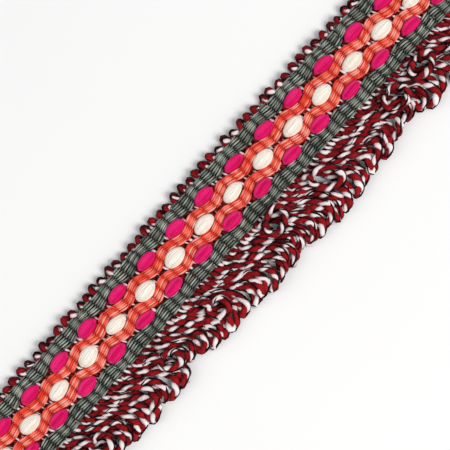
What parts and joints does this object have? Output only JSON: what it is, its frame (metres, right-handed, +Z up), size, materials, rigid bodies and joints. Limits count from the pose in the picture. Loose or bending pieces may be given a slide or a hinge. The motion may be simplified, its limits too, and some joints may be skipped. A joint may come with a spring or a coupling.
{
  "type": "woven ribbon trimming with loop fringe",
  "caption": "Cut length of ribbed woven ribbon with raised magenta and ivory floats, a picot edge and a marled loop fringe, lying flat.",
  "frame": {"origin": "under the middle of the whole ribbon's box, on the surface that it lies on", "axes": "+X along the ribbon, +Y across it towards the picot edge, +Z up from the surface"},
  "size_m": [0.1542, 0.0314, 0.0032],
  "materials": {
    "warp_grey": "soft grey-green cotton warp",
    "warp_coral": "soft coral cotton warp",
    "float_magenta": "bulky magenta yarn, slight sheen",
    "float_ivory": "bulky ivory yarn, slight sheen",
    "marl_red": "dark red ply of the marled yarn",
    "marl_white": "fluffy white ply of the marled yarn",
    "marl_black": "thin near-black thread of the marled yarn"
  },
  "bodies": {
    "root": {"woven_band": "warp_grey", "picot_edge": "marl_red", "loop_fringe": "marl_red"}
  },
  "joints": []
}
